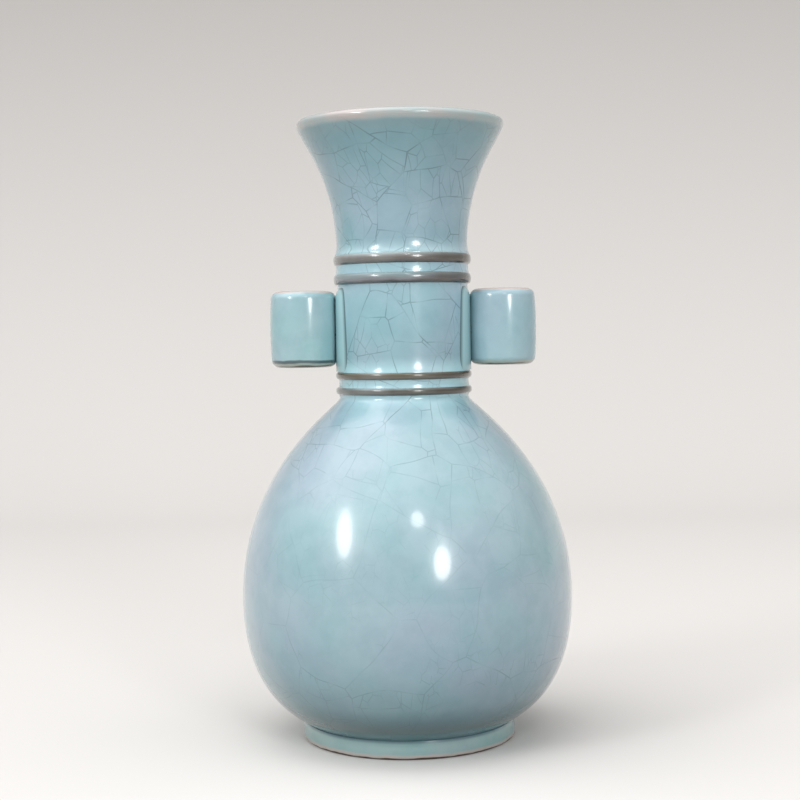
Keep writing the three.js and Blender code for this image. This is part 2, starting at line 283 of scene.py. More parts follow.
def crackNet(tree, coords, height):
    # 0 in a cell and up to 1 on a crack
    firstCell, secondCell, thirdCell = (size * mm for size in cracks["cells"])
    normal = addNode(tree, "ShaderNodeNewGeometry").outputs["Normal"]
    bend = addNode(tree, "ShaderNodeTexNoise",
                   {"Vector": coords, "Scale": 1 / (cracks["bend"] * mm), "Detail": 1.0})
    centred = addNode(tree, "ShaderNodeVectorMath", {0: bend.outputs["Color"], 1: (0.5, 0.5, 0.5)},
                      operation="SUBTRACT")
    depth, start = [cracks["bendDepth"] * mm] * 3, [c * mm for c in cracks["start"]]
    shift = addNode(tree, "ShaderNodeVectorMath", {0: centred, 1: depth, 2: start},
                    operation="MULTIPLY_ADD")
    bent = addNode(tree, "ShaderNodeVectorMath", {0: coords, 1: shift}, operation="ADD")

    # the first cracks are walls between large cells; their slant to the surface is taken out of their width
    cell = {"Vector": bent, "Scale": 1 / firstCell, "Randomness": cracks["scatter"][0]}
    nearest = addNode(tree, "ShaderNodeTexVoronoi", cell, feature="F1")
    here = nearest.outputs["Position"]
    there = addNode(tree, "ShaderNodeTexVoronoi", cell, feature="F2").outputs["Position"]
    across = addNode(tree, "ShaderNodeVectorMath", {0: there, 1: here}, operation="SUBTRACT")
    wall = addNode(tree, "ShaderNodeVectorMath", {0: across}, operation="NORMALIZE")
    halfway = addNode(tree, "ShaderNodeVectorMath", {0: across, 1: (0.5, 0.5, 0.5), 2: here},
                      operation="MULTIPLY_ADD")
    left = addNode(tree, "ShaderNodeVectorMath", {0: halfway, 1: bent}, operation="SUBTRACT")
    toWall = addNode(tree, "ShaderNodeVectorMath", {0: left, 1: wall}, operation="DOT_PRODUCT")
    slant = addNode(tree, "ShaderNodeVectorMath", {0: wall, 1: normal}, operation="DOT_PRODUCT")
    slant = slant.outputs["Value"]
    squared = addNode(tree, "ShaderNodeMath", {0: slant, 1: slant}, operation="MULTIPLY")
    straight = addNode(tree, "ShaderNodeMath", {0: 1.0, 1: squared}, operation="SUBTRACT")
    straight = addNode(tree, "ShaderNodeMath", {0: straight, 1: cracks["leastSlant"]}, operation="MAXIMUM")
    straight = addNode(tree, "ShaderNodeMath", {0: straight}, operation="SQRT")
    first = addNode(tree, "ShaderNodeMath", {0: toWall.outputs["Value"], 1: straight}, operation="DIVIDE")

    # each large cell gets its own flat chart, round the vase and up it, where the second cracks lie
    offset = addNode(tree, "ShaderNodeVectorMath", {0: bent, 1: here}, operation="SUBTRACT")
    home = addNode(tree, "ShaderNodeVectorMath", {0: here, 1: start}, operation="SUBTRACT")
    sideways = addNode(tree, "ShaderNodeVectorMath", {0: (0, 0, 1), 1: home}, operation="CROSS_PRODUCT")
    sideways = addNode(tree, "ShaderNodeVectorMath", {0: sideways}, operation="NORMALIZE")
    along = addNode(tree, "ShaderNodeVectorMath", {0: offset, 1: sideways}, operation="DOT_PRODUCT")
    up = addNode(tree, "ShaderNodeSeparateXYZ", {"Vector": offset}).outputs["Z"]
    chart = addNode(tree, "ShaderNodeCombineXYZ", {"X": along.outputs["Value"], "Y": up})
    chartShift = (cracks["chartShift"] * mm, cracks["chartShift"] * mm, 0)
    chart = addNode(tree, "ShaderNodeVectorMath", {0: nearest.outputs["Color"], 1: chartShift, 2: chart},
                    operation="MULTIPLY_ADD")
    plot = {"Vector": chart, "Scale": 1 / secondCell, "Randomness": cracks["scatter"][1]}
    second = addNode(tree, "ShaderNodeTexVoronoi", plot, feature="DISTANCE_TO_EDGE",
                     voronoi_dimensions="2D")

    # and each cell between second cracks its own again, where the third cracks lie
    plotCell = addNode(tree, "ShaderNodeTexVoronoi", plot, feature="F1", voronoi_dimensions="2D")
    plotShift = (cracks["plotShift"] * mm, cracks["plotShift"] * mm, 0)
    plotChart = addNode(tree, "ShaderNodeVectorMath",
                        {0: plotCell.outputs["Color"], 1: plotShift, 2: chart}, operation="MULTIPLY_ADD")
    plotChart = addNode(tree, "ShaderNodeVectorMath", {0: plotChart, 1: cracks["plotStretch"]},
                        operation="MULTIPLY")
    third = addNode(tree, "ShaderNodeTexVoronoi", {"Vector": plotChart, "Scale": 1 / thirdCell},
                    feature="DISTANCE_TO_EDGE", voronoi_dimensions="2D")

    # some cells stay whole, and fine nets come in patches
    patch = addNode(tree, "ShaderNodeTexNoise",
                    {"Vector": coords, "Scale": 1 / (cracks["patch"] * mm), "Detail": 1.0})
    shares = []
    for value, (low, high), (least, most) in (
            (height, [h * mm for h in cracks["secondHeights"]], cracks["secondShares"]),
            (patch, cracks["patchEdges"], cracks["thirdShares"])):
        shares.append(addNode(tree, "ShaderNodeMapRange",
                              {"Value": value, "From Min": low, "From Max": high,
                               "To Min": least, "To Max": most}))
    cracked = [None]
    for voronoi, share in zip((nearest, plotCell), shares):
        chance = addNode(tree, "ShaderNodeSeparateColor", {"Color": voronoi.outputs["Color"]})
        cracked.append(addNode(tree, "ShaderNodeMath", {0: chance.outputs["Green"], 1: share},
                               operation="LESS_THAN"))

    total = None
    for distance, unit, width, weight, present in zip(
            (first, second, third), (1, secondCell, thirdCell), cracks["widths"], cracks["weights"],
            cracked):
        half = width * mm / 2 / unit
        line = addNode(tree, "ShaderNodeMapRange",
                       {"Value": distance, "From Min": half * (1 - cracks["softness"]),
                        "From Max": half * (1 + cracks["softness"]), "To Min": weight, "To Max": 0.0},
                       interpolation_type="SMOOTHSTEP")
        if present:
            line = addNode(tree, "ShaderNodeMath", {0: line, 1: present}, operation="MULTIPLY")
        total = addNode(tree, "ShaderNodeMath", {0: total, 1: line}, operation="MAXIMUM") if total else line

    # cracks open and close along their length, and show more in some zones than in others
    opening = addNode(tree, "ShaderNodeTexNoise",
                      {"Vector": coords, "Scale": 1 / (cracks["gap"] * mm), "Detail": 1.0})
    fade = addNode(tree, "ShaderNodeMapRange",
                   {"Value": opening, "From Min": cracks["gapEdges"][0], "From Max": cracks["gapEdges"][1],
                    "To Min": cracks["gapShow"], "To Max": 1.0})
    strength = addRamp(tree, height, cracks["show"])
    total = addNode(tree, "ShaderNodeMath", {0: total, 1: fade}, operation="MULTIPLY")
    return addNode(tree, "ShaderNodeMath", {0: total, 1: strength}, operation="MULTIPLY")


def startGlaze(name):
    material = bpy.data.materials.new(name)
    material.use_nodes = True
    tree = material.node_tree
    tree.nodes.clear()
    coords = addNode(tree, "ShaderNodeTexCoord").outputs["Object"]
    parts = addNode(tree, "ShaderNodeSeparateXYZ", {"Vector": coords})
    return material, tree, coords, parts


def driftingTint(tree, coords, tone):
    # slow drifts of tint round a tone, as the glaze's thickness changes
    for size, detail, roughness, low, high, tint in glaze["drifts"]:
        noise = addNode(tree, "ShaderNodeTexNoise", {"Vector": coords, "Scale": 1 / (size * mm),
                                                     "Detail": detail, "Roughness": roughness})
        share = addNode(tree, "ShaderNodeMapRange", {"Value": noise, "From Min": low, "From Max": high})
        tone = addNode(tree, "ShaderNodeMix", {"Factor": share, 6: tone, 7: srgb(tint)},
                       data_type="RGBA", blend_type="MULTIPLY")
    return tone


def edgeHeight(tree, coords, height, wobble):
    # the height with a small uneven wobble, for the edges of glaze
    noise = addNode(tree, "ShaderNodeTexNoise",
                    {"Vector": coords, "Scale": 1 / (glaze["ripple"] * mm), "Detail": 1.0})
    low, high = glaze["rippleEdges"]
    wave = addNode(tree, "ShaderNodeMapRange", {"Value": noise, "From Min": low, "From Max": high,
                                                "To Min": -wobble * mm, "To Max": wobble * mm})
    return addNode(tree, "ShaderNodeMath", {0: height, 1: wave}, operation="ADD")


def paintAbove(tree, colour, value, edge, soft, paint, cover):
    # a colour above a height, or below it where soft is negative
    step = addNode(tree, "ShaderNodeMapRange", {"Value": value, "From Min": (edge - soft) * mm,
                                                "From Max": (edge + soft) * mm, "To Max": cover},
                   interpolation_type="SMOOTHSTEP")
    paint = srgb(paint) if isinstance(paint, str) else paint
    return addNode(tree, "ShaderNodeMix", {"Factor": step, 6: colour, 7: paint}, data_type="RGBA")


def finishGlaze(tree, coords, colour, roughness=None, dips=None):
    # long soft waves in the dipped surface under a clear glassy coat
    waves = addNode(tree, "ShaderNodeTexNoise",
                    {"Vector": coords, "Scale": 1 / (glaze["wave"] * mm), "Detail": 1.0})
    surface = addNode(tree, "ShaderNodeBump",
                      {"Strength": 1.0, "Distance": glaze["waveDepth"] * mm, "Height": waves})
    if dips:
        surface = addNode(tree, "ShaderNodeBump",
                          {"Strength": glaze["crackBump"], "Distance": glaze["crackDepth"] * mm,
                           "Height": dips, "Normal": surface}, invert=True)
    shader = addNode(tree, "ShaderNodeBsdfPrincipled",
                     {"Base Color": colour, "Roughness": roughness or glaze["roughness"],
                      "IOR": glaze["ior"], "Coat Weight": glaze["coat"],
                      "Coat Roughness": glaze["coatRoughness"], "Coat IOR": glaze["ior"],
                      "Normal": surface, "Coat Normal": surface})
    addNode(tree, "ShaderNodeOutputMaterial", {"Surface": shader})


def crackledCeladon():
    material, tree, coords, parts = startGlaze("crackledCeladonGlaze")
    height = parts.outputs["Z"]
    colour = driftingTint(tree, coords, addRamp(tree, height, glaze["tones"]))
    net = crackNet(tree, coords, height)
    colour = addNode(tree, "ShaderNodeMix", {"Factor": net, 6: colour, 7: srgb(glaze["crack"])},
                     data_type="RGBA")
    # the glaze runs thin and pale over the lip, with a faint painted shade under the band
    edge = edgeHeight(tree, coords, height, glaze["lipWobble"])
    colour = paintAbove(tree, colour, edge, *glaze["lipShade"])
    blush = addNode(tree, "ShaderNodeTexNoise",
                    {"Vector": coords, "Scale": 1 / (glaze["blushSize"] * mm), "Detail": 2.0})
    low, high = glaze["blushEdges"]
    blush = addNode(tree, "ShaderNodeMapRange", {"Value": blush, "From Min": low, "From Max": high})
    rim = addNode(tree, "ShaderNodeMix", {"Factor": blush, 6: srgb(glaze["rim"]), 7: srgb(glaze["blush"])},
                  data_type="RGBA")
    colour = paintAbove(tree, colour, edge, glaze["lipBand"], glaze["lipFade"], rim, glaze["lipCover"])
    finishGlaze(tree, coords, colour, dips=net)
    return material


bodyGlaze = crackledCeladon()
print("crackled glaze ready")


# the ring is glazed down to its standing edge, which was wiped bare and fired brown
footRing = {
    "radius": 41.5, "wall": 6.5, "draft": 0.6, "edge": 1.2, "edgeSteps": 8, "sideSteps": 8,
    "lean": 0.1, "leanRise": 3, "leanDrop": 2,  # the handles of the curve of its sides
    # height, half the width of its edge (negative: it lies below), colour and strength
    # the first is painted shade at the top of the ring, under the body's overhang
    "creaseShade": (6.3, 0.6, "#5c7883", 0.7), "pale": (1.9, -0.5, "#cdb9b0", 0.7),
    "clay": (0.85, -0.25, "#3f2f25", 1.0),
    "clayFade": 0.3, "clayRoughness": 0.75, "wobble": 0.25}


def footGlaze():
    material, tree, coords, parts = startGlaze("celadonGlazeAndBareFoot")
    height = parts.outputs["Z"]
    edge = edgeHeight(tree, coords, height, footRing["wobble"])
    colour = driftingTint(tree, coords, addRamp(tree, height, glaze["tones"]))
    # painted shade at the top of the ring, under the body
    colour = paintAbove(tree, colour, height, *footRing["creaseShade"])
    colour = paintAbove(tree, colour, edge, *footRing["pale"])
    colour = paintAbove(tree, colour, edge, *footRing["clay"])
    bareEdge = footRing["clay"][0]
    bare = addNode(tree, "ShaderNodeMapRange",
                   {"Value": edge, "From Min": (bareEdge + footRing["clayFade"]) * mm,
                    "From Max": (bareEdge - footRing["clayFade"]) * mm,
                    "To Min": glaze["roughness"], "To Max": footRing["clayRoughness"]})
    finishGlaze(tree, coords, colour, roughness=bare)
    return material


def makeFootRing():
    bottom, top = span("foot_ring")
    outer, inner = footRing["radius"], footRing["radius"] - footRing["wall"]
    edge, steps = footRing["edge"], footRing["edgeSteps"]
    low, high = bottom + footRing["leanRise"], top - footRing["leanDrop"]
    side, back = (bezier((radius, bottom + edge), (radius, low), (radius + lean * footRing["lean"], high),
                         (radius + lean * footRing["draft"], top))
                  for radius, lean in ((outer, -1), (inner, 1)))
    rises = [i / footRing["sideSteps"] for i in range(1, footRing["sideSteps"] + 1)]
    outline = arc((outer - edge, bottom + edge), edge, -90, 0, steps) + [side(t) for t in rises]
    outline += [back(t) for t in rises[::-1]] + arc((inner + edge, bottom + edge), edge, 180, 270, steps)
    return turn("footRing", outline)


dress(makeFootRing(), "foot_ring", footGlaze())
print("foot ring turned")


# the body's outline, shared by the base, the lower and upper body and the shoulder
body = {
    "radius": 64.4, "wall": 5.5, "baseRadius": 40.6, "baseLift": 4, "baseAngle": 42, "bellyDrop": 38.3,
    "floorThickness": 6, "floorRadius": 20, "floorSpread": 24, "innerBellyDrop": 33,
    "bellyRise": 47.4, "shoulderAngle": 47, "shoulderEase": 7.4, "coveRadius": 3, "collar": 0.5,
    "boreClear": 0.3, "boreEase": 0.25,         # how the inner wall turns up into the bore of the neck
    "outerSteps": 20, "innerSteps": 10, "coveSteps": 10, "collarSteps": 6}
neck = {"radius": 25.2, "wall": 4, "fineStep": 0.45, "step": 2.4, "endStep": 0.1, "ridgeReach": 6,
        "poolBlend": 4}

# the strings of clay round the neck; glaze pools above and below each: (how proud, how far it reaches)
ridges = {
    "upper_ridge_1": {"name": "upperRidge1", "crest": 26.8, "above": (1.05, 2.0), "below": (0.6, 7.0)},
    "upper_ridge_2": {"name": "upperRidge2", "crest": 26.8, "above": (0.75, 7.0), "below": (0.3, 0.45)},
    "lower_ridge_1": {"name": "lowerRidge1", "crest": 26.5, "above": (0.72, 2.2), "below": (0.35, 1.5)},
    "lower_ridge_2": {"name": "lowerRidge2", "crest": 26.5, "above": (0.4, 1.2), "below": (0.35, 0.6)},
}


def pooled(height):
    # how far the pooled glaze stands out from the neck at a height
    total = 0
    for node, ridge in ridges.items():
        bottom, top = span(node)
        deep, far = ridge["above"] if height >= (bottom + top) / 2 else ridge["below"]
        gap = max(height - top, bottom - height, 0)
        total += (deep * math.exp(-gap / far)) ** neck["poolBlend"]
    return total ** (1 / neck["poolBlend"])


def rungs(bottom, top):
    # heights up the neck, close together by the ridges
    last = top - neck["endStep"]
    heights = [bottom, bottom + neck["endStep"]]
    while heights[-1] < last:
        here = heights[-1]
        gap = min(max(here - span(node)[1], span(node)[0] - here, 0) for node in ridges)
        heights.append(min(here + (neck["fineStep"] if gap < neck["ridgeReach"] else neck["step"]), last))
    return heights + [top]


bore = neck["radius"] - neck["wall"]
baseFoot, baseTop = span("base")
belly = span("lower_body")[1]
shoulderFoot, neckFoot = span("shoulder")
neckTop = span("neck")[1]
lipFoot, lipTop = span("lip")

baseEdge = (body["baseRadius"], baseFoot)
lowerOutside = bezier(baseEdge, towards(baseEdge, body["baseLift"], body["baseAngle"]),
                      (body["radius"], belly - body["bellyDrop"]), (body["radius"], belly))
floorHeight = baseFoot + body["floorThickness"]
innerRadius = body["radius"] - body["wall"]
lowerInside = bezier((body["floorRadius"], floorHeight),
                     (body["floorRadius"] + body["floorSpread"], floorHeight),
                     (innerRadius, belly - body["innerBellyDrop"]), (innerRadius, belly))
coveCentre = (neck["radius"] + body["coveRadius"], span("lower_ridge_2")[0] - body["collar"])
cove = arc(coveCentre, body["coveRadius"], 270 - body["shoulderAngle"], 180, body["coveSteps"])
upperOutside = bezier((body["radius"], belly), (body["radius"], belly + body["bellyRise"]),
                      towards(cove[0], body["shoulderEase"], -body["shoulderAngle"]), cove[0])
upperInside = insideOf(upperOutside, body["wall"], body["wall"])


def makeBase():
    outside = climb(lowerOutside, baseFoot, baseTop, body["outerSteps"])
    inside = climb(lowerInside, floorHeight, baseTop, body["innerSteps"])
    return turn("base", [(0, baseFoot)] + outside + inside[::-1] + [(0, floorHeight)])


def makeSection(name, outer, inner, bottom, top):
    outside = climb(outer, bottom, top, body["outerSteps"])
    return turn(name, outside + climb(inner, bottom, top, body["innerSteps"])[::-1])


def makeShoulder():
    outside = climb(upperOutside, shoulderFoot, cove[0][1], body["outerSteps"])
    steps = body["collarSteps"]
    collar = [(neck["radius"], coveCentre[1] + i * (neckFoot - coveCentre[1]) / steps)
              for i in range(1, steps + 1)]
    outside += [(r + pooled(z), z) for r, z in cove[1:] + collar]
    inside = climb(upperInside, shoulderFoot, upperInside(1)[1], body["innerSteps"])
    wide = [p for p in inside if p[0] > bore + body["boreClear"]]
    # the inner wall runs on in a straight line until it meets the bore
    (r1, z1), (r0, z0) = wide[-1], wide[-3]
    corner = z1 + (z1 - z0) / (r0 - r1) * (r1 - bore)
    ease = [(bore, corner + body["boreClear"]), (bore + body["boreEase"], corner - body["boreEase"])]
    return turn("shoulder", outside + [(bore, neckFoot)] + ease + wide[::-1])


dress(makeBase(), "base", bodyGlaze)
dress(makeSection("lowerBody", lowerOutside, lowerInside, baseTop, belly),
      "lower_body", bodyGlaze)
dress(makeSection("upperBody", upperOutside, upperInside, belly, shoulderFoot),
      "upper_body", bodyGlaze)
dress(makeShoulder(), "shoulder", bodyGlaze)
print("body turned")


# thin glaze over the crest of a clay string: the clay shows brown through it, darkest at the lower edge,
# where painted shade under the string is added to the brown
ridgeLook = {
    # how high on the ridge, from 0 at its foot to 1 at its head, and the colour there
    "upper_ridge_1": ((0, "#3d4747"), (0.3, "#5c5856"), (0.5, "#7e7975"), (0.75, "#9a9e9e"),
                      (1, "#a4bdc1")),
    "upper_ridge_2": ((0, "#3b464a"), (0.14, "#33383b"), (0.35, "#7c7d83"), (0.6, "#8b999d"),
                      (1, "#7d9ba0")),
    "lower_ridge_1": ((0, "#5d5f57"), (0.45, "#5f594a"), (0.74, "#6d6857"), (0.88, "#5f5d50"),
                      (1, "#7e8780")),
    "lower_ridge_2": ((0, "#454943"), (0.4, "#55524a"), (0.75, "#6a6d67"), (1, "#8a9a9c")),
    "clay": "#43372a", "grey": "#9aa1a2", "wobble": 0.3,
    "patch": 20.833, "patchEdges": (0.45, 0.65), "patchGrey": 0.18,
    # greyer towards the left and browner and darker towards the right
    "middle": 4, "greyLeft": -30, "brownRight": 15, "rightBrown": 0.7,
    "leftGrey": {"upper_ridge_1": 0.4, "upper_ridge_2": 0.4, "lower_ridge_1": 0.0, "lower_ridge_2": 0.45},
}
# the section of a string: a full oval, squarer than a half circle, where lower powers are squarer
ridgeForm = {"seat": 25.3, "steps": 24, "outPower": 0.72, "upPower": 0.9}


def ridgeGlaze(node):
    material, tree, coords, parts = startGlaze("thinCeladonOverClay_" + ridges[node]["name"])
    bottom, top = span(node)
    edge = edgeHeight(tree, coords, parts.outputs["Z"], ridgeLook["wobble"])
    stops = [(bottom + (top - bottom) * share, colour) for share, colour in ridgeLook[node]]
    ramp = addRamp(tree, edge, stops)
    # greyer where the glaze lies a little thicker in patches, greyer too towards the left, and browner
    # towards the right
    thick = addNode(tree, "ShaderNodeTexNoise",
                    {"Vector": coords, "Scale": 1 / (ridgeLook["patch"] * mm), "Detail": 2.0})
    low, high = ridgeLook["patchEdges"]
    greyer = addNode(tree, "ShaderNodeMapRange", {"Value": thick, "From Min": low, "From Max": high,
                                                  "To Max": ridgeLook["patchGrey"]})
    left = addNode(tree, "ShaderNodeMapRange",
                   {"Value": parts.outputs["X"], "From Min": -ridgeLook["middle"] * mm,
                    "From Max": ridgeLook["greyLeft"] * mm, "To Max": ridgeLook["leftGrey"][node]})
    greyer = addNode(tree, "ShaderNodeMath", {0: greyer, 1: left}, operation="ADD")
    right = addNode(tree, "ShaderNodeMapRange",
                    {"Value": parts.outputs["X"], "From Min": ridgeLook["middle"] * mm,
                     "From Max": ridgeLook["brownRight"] * mm, "To Max": ridgeLook["rightBrown"]})
    colour = addNode(tree, "ShaderNodeMix", {"Factor": right, 6: ramp, 7: srgb(ridgeLook["clay"])},
                     data_type="RGBA", blend_type="DARKEN")
    colour = addNode(tree, "ShaderNodeMix", {"Factor": greyer, 6: colour, 7: srgb(ridgeLook["grey"])},
                     data_type="RGBA")
    finishGlaze(tree, coords, colour)
    return material


def makeNeck():
    outside = [(neck["radius"] + pooled(z), z) for z in rungs(neckFoot, neckTop)]
    return turn("neck", outside + [(bore, neckTop), (bore, neckFoot)])


def makeRidge(node):
    bottom, top = span(node)
    middle, half = (bottom + top) / 2, (top - bottom) / 2
    seat, steps = ridgeForm["seat"], ridgeForm["steps"]
    proud = ridges[node]["crest"] - seat
    angles = [math.radians(-90 + 180 * i / steps) for i in range(steps + 1)]
    string = [(seat + proud * abs(math.cos(a)) ** ridgeForm["outPower"],
               middle + half * math.copysign(abs(math.sin(a)) ** ridgeForm["upPower"], a)) for a in angles]
    return turn(ridges[node]["name"], string)


dress(makeNeck(), "neck", bodyGlaze)
for node in ridges:
    dress(makeRidge(node), node, ridgeGlaze(node))
print("neck and ridges turned")


# the flare of the mouth, and the rounded edge of its lip
mouth = {"rise": 31.6, "lipRadius": 40.2, "lipThickness": 3.8, "lipAngle": 71, "lipEase": 8.4,
         "innerSteps": 16, "lipSteps": 14, "edgeSteps": 9}

lipRound = mouth["lipThickness"] / 2
lipCentre = (mouth["lipRadius"] - lipRound, lipTop - lipRound)
lipEdge = arc(lipCentre, lipRound, mouth["lipAngle"] - 90, 90, mouth["edgeSteps"])
lipEdge += arc(lipCentre, lipRound, 90, mouth["lipAngle"] + 90, mouth["edgeSteps"])[1:]
flare = bezier((neck["radius"], neckTop), (neck["radius"], neckTop + mouth["rise"]),
               towards(lipEdge[0], -mouth["lipEase"], mouth["lipAngle"]), lipEdge[0])
flareInside = insideOf(flare, neck["wall"], mouth["lipThickness"])


def makeMouth():
    outside = [(flare(reach(flare, z))[0] + pooled(z), z) for z in rungs(neckTop, lipFoot)]
    return turn("mouth", outside + climb(flareInside, neckTop, lipFoot, mouth["innerSteps"])[::-1])


def makeLip():
    outside = climb(flare, lipFoot, lipEdge[0][1], mouth["lipSteps"])
    inside = climb(flareInside, lipFoot, flareInside(1)[1], mouth["lipSteps"])
    return turn("lip", outside + lipEdge[1:-1] + inside[::-1])


dress(makeMouth(), "mouth", bodyGlaze)
dress(makeLip(), "lip", bodyGlaze)
print("mouth and lip turned")


# two tubes of clay, open at both ends; the glaze on them shows no cracks, runs thin and pale over the
# rims and leaves a brown line at the lower edge
lugs = {
    "radius": 13.2, "barrel": 0.4, "wall": 4.2, "rimRound": 3.2, "boreRound": 0.8, "seatDepth": 0.7,
    "swell": 0.13, "swellReach": 10, "seatLift": 0.1, "rimSteps": 9, "sideSteps": 14, "boreSteps": 5,
    "tone": "#acced5", "wobble": 0.2,
    # height, half the width of its edge (negative: it lies below), colour and strength
    "topRim": (173.6, 0.35, "#dcc9c2", 0.9), "footRim": (146.5, -0.3, "#c6ccbb", 0.75),
    "footLine": (145.6, -0.25, "#675640", 0.95),
    "creaseShade": (27.3, -0.7, "#93b6bd", 0.8),     # painted shade, as above but by the distance from the middle of the vase
    # painted shade under the left lug's lower rounding
    "shade": "#4d666c", "shadeLow": 146.5, "shadeHigh": 147.5, "shadeFade": 0.4}

# the clay strips that hold the lugs to the neck, thinner and narrower towards their heads; the glaze
# pools on them, so they look smooth, pale and deep, with painted shade along the lug and a dark line of
# painted shade where they end
saddle = {
    "thickness": 1.05, "faceHalf": 4.6, "faceTaper": 1.6, "inner": 21.6, "innerHalf": 5.4, "bulge": 1.5,
    "steps": 8,
    # height above its foot, half its width at the neck, and how far out its face lies
    "levels": ((0, 13.4, 1), (8, 13.1, 1), (16, 12.7, 1), (24, 12.3, 1), (28.6, 12.1, 0.97),
               (30.6, 11.9, 0.86), (32.1, 11.7, 0.66), (32.8, 11.6, 0.4)),
    "colour": "#a9d3d8", "cover": 0.75,
    # painted shade: distance out from its face or from the neck, then as above
    "faceCreaseShade": (-0.35, 0.3, "#93b6bd", 0.8), "neckCreaseShade": (0.42, -0.3, "#4a6a72", 0.9)}

saddleFace = neck["radius"] + saddle["thickness"]
lugCentre = saddleFace + lugs["radius"] - lugs["seatDepth"]


def lugGlaze():
    material, tree, coords, parts = startGlaze("celadonGlazeOnLugs")
    edge = edgeHeight(tree, coords, parts.outputs["Z"], lugs["wobble"])
    colour = driftingTint(tree, coords, srgb(lugs["tone"]))
    # the left lug has a line of painted shade under its lower rounding, just over its pale foot rim
    line = addNode(tree, "ShaderNodeMath", {0: parts.outputs["X"], 1: 0.0}, operation="LESS_THAN")
    for height, fade in ((lugs["shadeLow"], -lugs["shadeFade"]), (lugs["shadeHigh"], lugs["shadeFade"])):
        side = addNode(tree, "ShaderNodeMapRange", {"Value": edge, "From Min": (height + fade) * mm,
                                                    "From Max": height * mm})
        line = addNode(tree, "ShaderNodeMath", {0: line, 1: side}, operation="MULTIPLY")
    colour = addNode(tree, "ShaderNodeMix", {"Factor": line, 6: colour, 7: srgb(lugs["shade"])},
                     data_type="RGBA")
    for paint in ("topRim", "footRim", "footLine"):
        colour = paintAbove(tree, colour, edge, *lugs[paint])
    # and is darkened with painted shade in the crease beside the saddle
    out = addNode(tree, "ShaderNodeMath", {0: parts.outputs["X"]}, operation="ABSOLUTE")
    colour = paintAbove(tree, colour, out, *lugs["creaseShade"])
    finishGlaze(tree, coords, colour)
    return material


def saddleGlaze():
    material, tree, coords, parts = startGlaze("pooledCeladonGlaze")
    drift = driftingTint(tree, coords, srgb(lugs["tone"]))
    colour = addNode(tree, "ShaderNodeMix",
                     {"Factor": saddle["cover"], 6: drift, 7: srgb(saddle["colour"])}, data_type="RGBA")
    # painted shade, darker against the lug, and darkest in a line where it meets the neck
    out = addNode(tree, "ShaderNodeMath", {0: parts.outputs["X"]}, operation="ABSOLUTE")
    across = addNode(tree, "ShaderNodeVectorMath", {0: coords, 1: (1, 1, 0)}, operation="MULTIPLY")
    fromAxis = addNode(tree, "ShaderNodeVectorMath", {0: across}, operation="LENGTH").outputs["Value"]
    for value, start, creaseShade in ((out, saddleFace, saddle["faceCreaseShade"]),
                                 (fromAxis, neck["radius"], saddle["neckCreaseShade"])):
        colour = paintAbove(tree, colour, value, start + creaseShade[0], *creaseShade[1:])
    finishGlaze(tree, coords, colour)
    return material


def makeLug():
    bottom, top = span("right_lug")
    rimRound, boreRound = lugs["rimRound"], lugs["boreRound"]
    rim, widest = lugs["radius"] - lugs["barrel"], lugs["radius"] + lugs["swell"]
    side = bezier((rim, bottom + rimRound), (widest, bottom + lugs["swellReach"]),
                  (widest, top - lugs["swellReach"]), (rim, top - rimRound))
    boreEdge = lugs["radius"] - lugs["wall"] + boreRound
    outline = arc((rim - rimRound, bottom + rimRound), rimRound, -90, 0, lugs["rimSteps"])
    outline += [side(i / lugs["sideSteps"]) for i in range(1, lugs["sideSteps"])]
    outline += arc((rim - rimRound, top - rimRound), rimRound, 0, 90, lugs["rimSteps"])
    outline += arc((boreEdge, top - boreRound), boreRound, 90, 180, lugs["boreSteps"])
    outline += arc((boreEdge, bottom + boreRound), boreRound, 180, 270, lugs["boreSteps"])
    lug = turn("rightLug", outline, lugCentre)
    # the side that sits on the saddle is cut flat
    editMode(lug)
    bpy.ops.mesh.bisect(plane_co=((saddleFace + lugs["seatLift"]) * mm, 0, 0), plane_no=(1, 0, 0),
                        use_fill=True, clear_inner=True)
    weld()
    bpy.ops.mesh.normals_make_consistent(inside=False)
    objectMode()
    return lug


def makeSaddle():
    # one closed loop is traced for each level, and the loops are bridged from the foot to the head
    bottom = span("right_lug_saddle")[0]
    levels = saddle["levels"]
    piece = startPiece("rightLugSaddle")
    for rise, spread, out in levels:
        neckSide = math.sqrt(neck["radius"] ** 2 - spread ** 2)
        face = neckSide + (saddleFace - neckSide) * out
        faceHalf = saddle["faceHalf"] - saddle["faceTaper"] * (1 - out)
        start, stop = (neckSide, spread), (face, faceHalf)
        middle = [(a + b) / 2 + saddle["bulge"] * out for a, b in zip(start, stop)]
        handles = [[(a + 2 * b) / 3 for a, b in zip(end, middle)] for end in (start, stop)]
        flank = bezier(start, *handles, stop)
        loop = [(saddle["inner"], saddle["innerHalf"])]
        loop += [flank(i / saddle["steps"]) for i in range(saddle["steps"] + 1)]
        loop += [(x, -y) for x, y in loop[::-1]]
        if rise > levels[0][0]:
            bpy.ops.mesh.select_all(action="DESELECT")
            startPoint()
        trace([(x, y, bottom + rise) for x, y in loop + loop[:1]])
    weld()
    bpy.ops.mesh.bridge_edge_loops()
    for rise in (levels[0][0], levels[-1][0]):
        selectWhere(piece, lambda x, y, z: abs(z - bottom - rise) < turning["merge"])
        bpy.ops.mesh.edge_face_add()
    bpy.ops.mesh.select_all(action="SELECT")
    bpy.ops.mesh.normals_make_consistent(inside=False)
    objectMode()
    return piece


def otherSide(piece, name):
    # a copy with its own mesh, turned half way round the vase
    pick(piece)
    bpy.ops.object.duplicate()
    twin = bpy.context.object
    twin.name = twin.data.name = name
    editMode(twin)
    bpy.ops.transform.rotate(value=math.pi, orient_axis="Z", center_override=(0, 0, 0))
    objectMode()
    return twin


